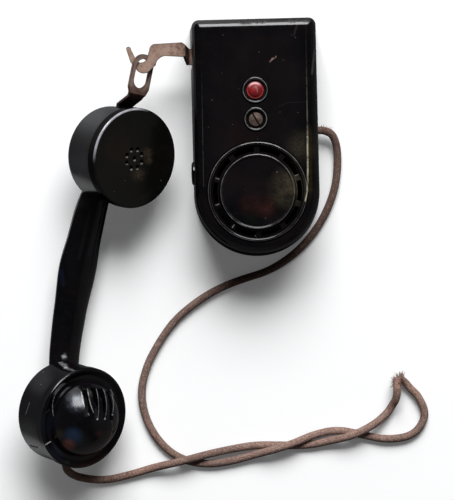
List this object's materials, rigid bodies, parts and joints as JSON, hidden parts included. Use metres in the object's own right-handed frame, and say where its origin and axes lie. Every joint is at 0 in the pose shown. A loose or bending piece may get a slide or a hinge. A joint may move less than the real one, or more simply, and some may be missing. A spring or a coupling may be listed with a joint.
{
  "type": "intercom telephone",
  "caption": "Small wall box with sound openings, call button and side hook, corded to a handset with a domed mouthpiece and a metal hanging loop.",
  "frame": {"origin": "centre of the box's flat back face, midway between its sides and its ends", "axes": "+Z out of the box's face, +Y towards its hook end, +X to its cord side"},
  "size_m": [0.2548, 0.2877, 0.0619],
  "materials": {
    "black_bakelite": "polished phenolic moulding with fine scratches and dust",
    "red_button": "polished moulded button",
    "dark_base": "dull moulded board",
    "insulation": "laminated insulating blocks and bobbin",
    "worn_steel": "plated steel dulled by rust",
    "bright_steel": "turned steel",
    "soft_iron": "soft iron core, frame and armature",
    "spring_brass": "contact leaves, posts and terminals",
    "enamelled_wire": "winding of enamelled copper wire",
    "capsule_shell": "pressed capsule cases",
    "braided_cord": "pinkish-brown woven braid over rubber",
    "gland_rubber": "black rubber bush"
  },
  "bodies": {
    "box": {"base_plate": "dark_base", "front_cover": "black_bakelite", "cover_screw": "bright_steel", "screw_post": "spring_brass", "blanking_plug": "black_bakelite", "hook_post": "bright_steel", "hook_clip": "bright_steel", "hook_stops": "bright_steel", "hook_contact_block": "insulation", "hook_contact_screws": "bright_steel", "hook_fixed_leaf": "spring_brass", "button_contact_block": "insulation", "button_contact_screws": "bright_steel", "button_fixed_leaf": "spring_brass", "buzzer_frame": "soft_iron", "buzzer_screws": "bright_steel", "buzzer_core": "soft_iron", "buzzer_bobbin": "insulation", "buzzer_winding": "enamelled_wire", "interrupter_post": "spring_brass", "interrupter_screw": "bright_steel", "terminal_strip": "insulation", "terminal_screws": "spring_brass", "box_cord_end": "braided_cord", "cord_saddle": "worn_steel", "saddle_screws": "bright_steel", "handset_cord": "braided_cord"},
    "call_button": {"call_button": "red_button"},
    "button_leaf": {"button_moving_leaf": "spring_brass"},
    "hook": {"hook_lever": "worn_steel"},
    "hook_leaf": {"hook_moving_leaf": "spring_brass"},
    "armature": {"buzzer_armature": "soft_iron"},
    "handset": {"handset_shell": "black_bakelite", "cord_gland": "gland_rubber", "handset_cord_end": "braided_cord", "ear_cap": "black_bakelite", "mouth_cap": "black_bakelite", "receiver_capsule": "capsule_shell", "transmitter_capsule": "capsule_shell", "receiver_contacts": "spring_brass", "transmitter_contacts": "spring_brass", "hanging_loop": "worn_steel", "loop_screws": "bright_steel"}
  },
  "joints": [
    {"name": "call_button_press", "type": "slide", "parent": "box", "child": "call_button", "axis": [0, 0, -1], "range_m": [0, 0.0025], "stiffness_N_per_m": 600, "springref_m": -0.001},
    {"name": "button_leaf_bend", "type": "hinge", "parent": "box", "child": "button_leaf", "pos_m": [0.0167, 0.028, 0.0265], "axis": [0, -1, 0], "range_deg": [0, 8.7]},
    {"name": "hook_lever_swing", "type": "hinge", "parent": "box", "child": "hook", "pos_m": [-0.0295, 0.051, 0.022], "axis": [0, 0, 1], "range_deg": [0, 8], "stiffness_Nm_per_rad": 0.35, "springref_deg": -2.86},
    {"name": "hook_leaf_bend", "type": "hinge", "parent": "box", "child": "hook_leaf", "pos_m": [0.012, 0.055, 0.023], "axis": [0, 0, 1], "range_deg": [-7.3, 0]},
    {"name": "armature_pull", "type": "hinge", "parent": "box", "child": "armature", "pos_m": [0.0111, -0.037, 0.0063], "axis": [0, -1, 0], "range_deg": [0, 2], "stiffness_Nm_per_rad": 0.02, "springref_deg": -1.15},
    {"name": "handset_lift", "type": "slide", "parent": "box", "child": "handset", "axis": [-0.3102, 0.9507, 0], "range_m": [0, 0.008]}
  ],
  "couplings": [
    {"joint": "button_leaf_bend", "follows": "call_button_press", "rad_per_m": 59.9},
    {"joint": "hook_leaf_bend", "follows": "hook_lever_swing", "ratio": -0.9}
  ]
}
